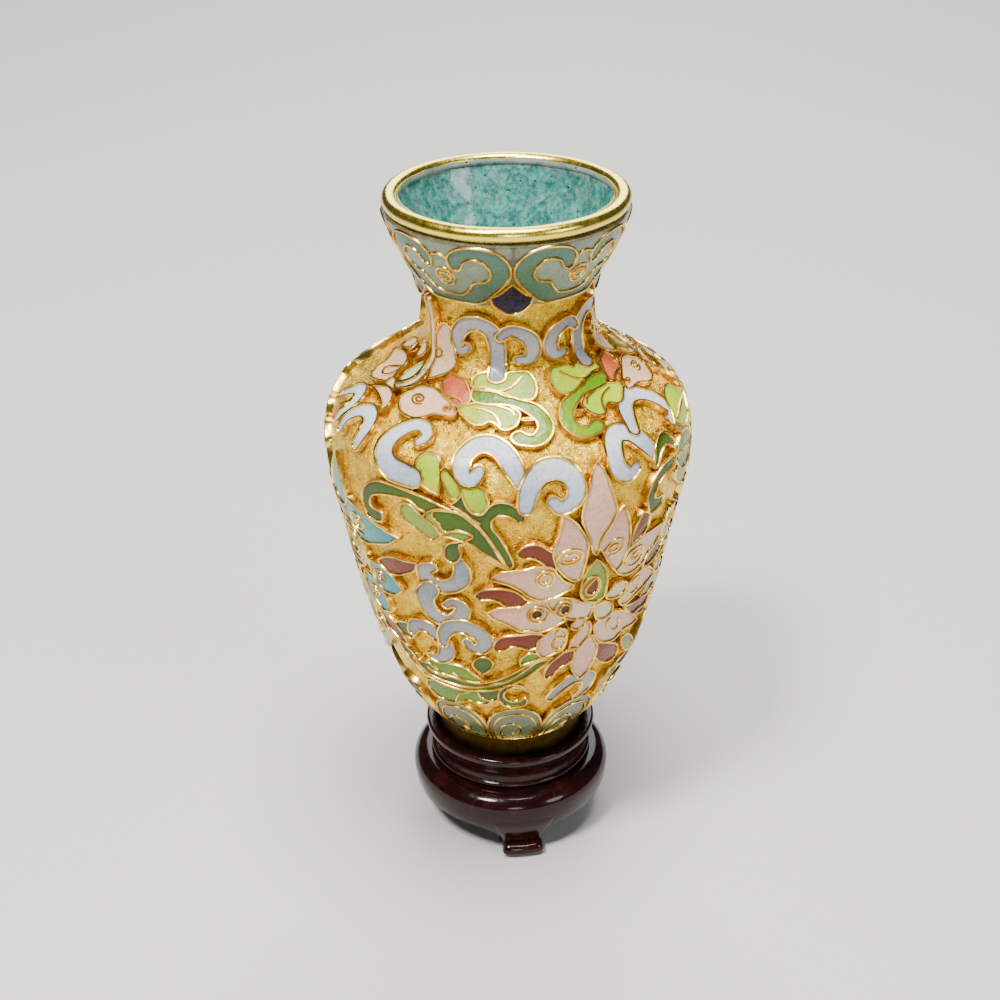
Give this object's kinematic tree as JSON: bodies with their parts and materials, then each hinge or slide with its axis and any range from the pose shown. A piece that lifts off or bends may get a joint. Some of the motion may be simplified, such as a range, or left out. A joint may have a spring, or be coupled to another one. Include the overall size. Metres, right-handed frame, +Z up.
{
  "type": "miniature vase",
  "caption": "Small enamelled baluster vase with raised flowers and scrolls on gilt ground, standing in a turned wooden stand with scroll feet.",
  "frame": {"origin": "on the floor, under the middle of the stand", "axes": "+Z up along the vase's axis, -Y to the front of the vase, one foot of the stand 7 degrees right of the front"},
  "size_m": [0.0386, 0.0394, 0.0785],
  "materials": {
    "gilt_ground": "gilt, finely pitted",
    "gilt_ring": "gilt, polished",
    "enamel": "fired enamel, glossy",
    "interior_enamel": "fired enamel, mottled",
    "lacquered_wood": "dark lacquer, glossy"
  },
  "bodies": {
    "root": {"vase_body": "gilt_ground", "lip_ring": "gilt_ring", "foot_ring": "gilt_ring", "display_stand": "lacquered_wood"}
  },
  "joints": []
}
